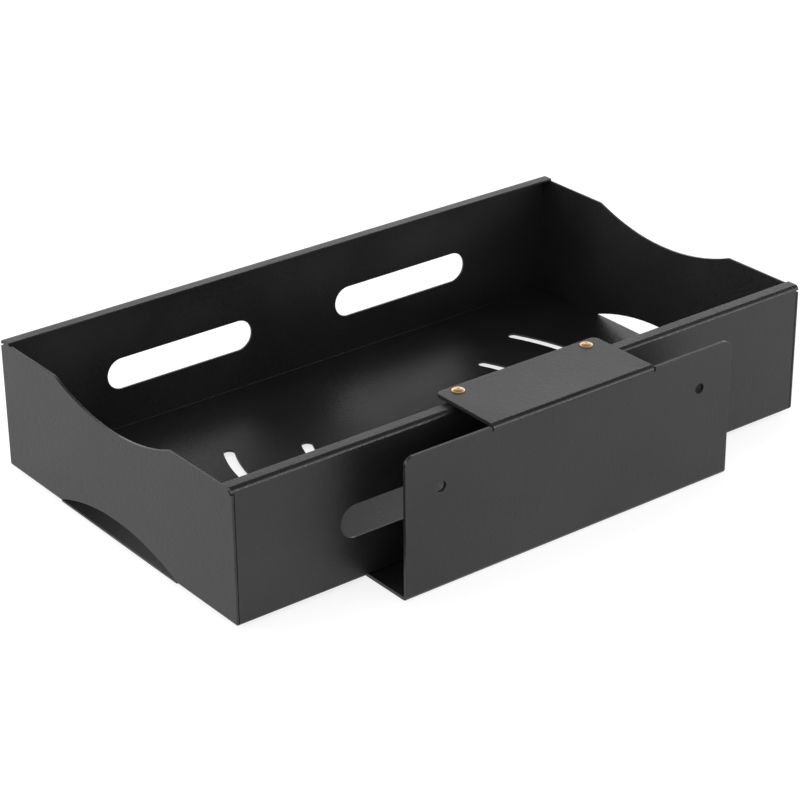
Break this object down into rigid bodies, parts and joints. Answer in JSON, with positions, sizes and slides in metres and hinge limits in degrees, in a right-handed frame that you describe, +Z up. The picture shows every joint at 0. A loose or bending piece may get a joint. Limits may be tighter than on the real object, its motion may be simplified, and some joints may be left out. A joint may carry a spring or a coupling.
{
  "type": "under desk drawer",
  "caption": "Shallow black folded-steel drawer tray with slotted walls that runs sideways in a folded hanger bracket screwed to a desk.",
  "frame": {"origin": "midway between the two screw holes, on the outer face of the hanger bracket's plate", "axes": "+X along the tray's length, +Y from the bracket into the tray, +Z up"},
  "size_m": [0.35, 0.2275, 0.0755],
  "materials": {
    "black_powder_coat": "fine-textured satin powder coat on folded steel sheet",
    "brass": "turned brass, lightly polished"
  },
  "bodies": {
    "hanger": {"hanger_bracket": "black_powder_coat", "guide_pins": "brass"},
    "drawer": {"tray": "black_powder_coat"}
  },
  "joints": [
    {"name": "tray_slide", "type": "slide", "parent": "hanger", "child": "drawer", "axis": [1, 0, 0], "range_m": [-0.131, 0.131]}
  ]
}
